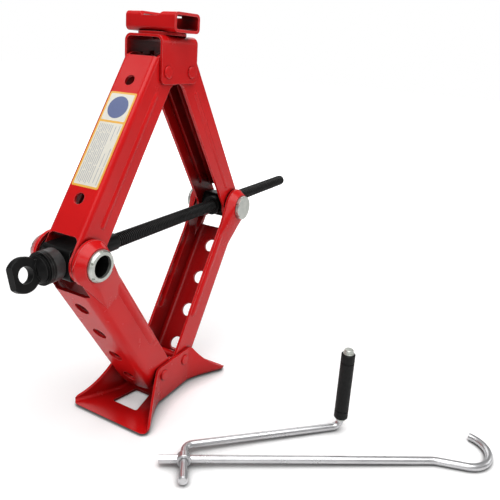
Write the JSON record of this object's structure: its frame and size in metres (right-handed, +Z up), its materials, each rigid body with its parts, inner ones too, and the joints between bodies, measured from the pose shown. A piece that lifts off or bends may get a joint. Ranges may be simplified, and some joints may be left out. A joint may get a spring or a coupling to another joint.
{
  "type": "scissor car jack",
  "caption": "Scissor car jack with gear-meshed pressed arms, lead screw with crank eye, slotted swivel saddle, flared base plate and a separate folding crank.",
  "frame": {"origin": "centre of the base plate's underside, on the ground", "axes": "+Z up from the base to the saddle, +X along the lead screw away from its crank eye, Y along the pivot pins"},
  "size_m": [0.4072, 0.341, 0.3436],
  "materials": {
    "red_paint": "gloss red enamel",
    "black_steel": "oiled black oxide",
    "zinc_plate": "satin zinc plate",
    "bearing_steel": "polished",
    "brass_cage": "satin",
    "bright_rod": "bright zinc plate",
    "black_grip": "matte",
    "label_film": "satin film"
  },
  "bodies": {
    "base": {"base_plate": "red_paint", "base_pivot_pins": "red_paint"},
    "lower_left": {"lower_arm_left": "red_paint"},
    "lower_right": {"lower_arm_right": "red_paint"},
    "left_block": {"thrust_trunnion": "black_steel", "left_spacer_tubes": "zinc_plate", "journal_rings": "zinc_plate", "bearing_cup": "black_steel"},
    "right_block": {"nut_trunnion": "black_steel", "right_spacer_tubes": "zinc_plate", "journal_caps": "zinc_plate"},
    "upper_left": {"upper_arm_left": "red_paint", "label": "label_film"},
    "upper_right": {"upper_arm_right": "red_paint"},
    "top": {"top_bracket": "red_paint", "top_pivot_pins": "red_paint", "saddle_spacer": "red_paint", "saddle_rivet": "red_paint"},
    "swivel_saddle": {"saddle": "red_paint"},
    "screw": {"lead_screw": "black_steel", "eye_head": "black_steel", "stop_sleeve": "black_steel", "turning_race": "black_steel", "bearing_balls": "bearing_steel", "bearing_cage": "brass_cage"},
    "hook_part": {"hook_rod": "bright_rod"},
    "crank_part": {"crank_rod": "bright_rod", "grip_washers": "zinc_plate", "grip_retainer": "zinc_plate"},
    "grip_part": {"grip": "black_grip"}
  },
  "joints": [
    {"name": "lift", "type": "hinge", "parent": "base", "child": "lower_left", "pos_m": [-0.016, 0, 0.0282], "axis": [0, 1, 0], "range_deg": [-51.3, 17.7]},
    {"name": "lower_right_fold", "type": "hinge", "parent": "base", "child": "lower_right", "pos_m": [0.016, 0, 0.0282], "axis": [0, -1, 0], "range_deg": [-51.3, 17.7]},
    {"name": "left_block_level", "type": "hinge", "parent": "lower_left", "child": "left_block", "pos_m": [-0.10244, 0, 0.16284], "axis": [0, 1, 0], "range_deg": [-17.7, 51.3]},
    {"name": "right_block_level", "type": "hinge", "parent": "lower_right", "child": "right_block", "pos_m": [0.10244, 0, 0.16284], "axis": [0, -1, 0], "range_deg": [-17.7, 51.3]},
    {"name": "upper_left_fold", "type": "hinge", "parent": "lower_left", "child": "upper_left", "pos_m": [-0.10244, 0, 0.16284], "axis": [0, 1, 0], "range_deg": [-35.4, 102.6]},
    {"name": "upper_right_fold", "type": "hinge", "parent": "lower_right", "child": "upper_right", "pos_m": [0.10244, 0, 0.16284], "axis": [0, -1, 0], "range_deg": [-35.4, 102.6]},
    {"name": "top_level", "type": "hinge", "parent": "upper_left", "child": "top", "pos_m": [-0.016, 0, 0.29748], "axis": [0, 1, 0], "range_deg": [-51.3, 17.7]},
    {"name": "saddle_swivel", "type": "hinge", "parent": "top", "child": "swivel_saddle", "pos_m": [0, 0, 0.32818], "axis": [0, 0, 1], "continuous": true},
    {"name": "screw_turn", "type": "hinge", "parent": "left_block", "child": "screw", "pos_m": [-0.1258, 0, 0.16284], "axis": [1, 0, 0], "continuous": true},
    {"name": "handle_lift_off", "type": "slide", "parent": "base", "child": "hook_part", "axis": [0, 0, 1], "range_m": [0, 0.06]},
    {"name": "crank_fold", "type": "hinge", "parent": "hook_part", "child": "crank_part", "pos_m": [-0.0729, -0.0866, 0.0058], "axis": [-0.832, -0.5548, 0], "range_deg": [0, 75]},
    {"name": "grip_spin", "type": "hinge", "parent": "crank_part", "child": "grip_part", "pos_m": [0.03928, -0.1755, 0.043], "axis": [0, 0, 1], "continuous": true}
  ],
  "couplings": [
    {"joint": "lower_right_fold", "follows": "lift", "ratio": 1},
    {"joint": "left_block_level", "follows": "lift", "ratio": -1},
    {"joint": "right_block_level", "follows": "lift", "ratio": -1},
    {"joint": "upper_left_fold", "follows": "lift", "ratio": -2},
    {"joint": "upper_right_fold", "follows": "lift", "ratio": -2},
    {"joint": "top_level", "follows": "lift", "ratio": 1}
  ]
}
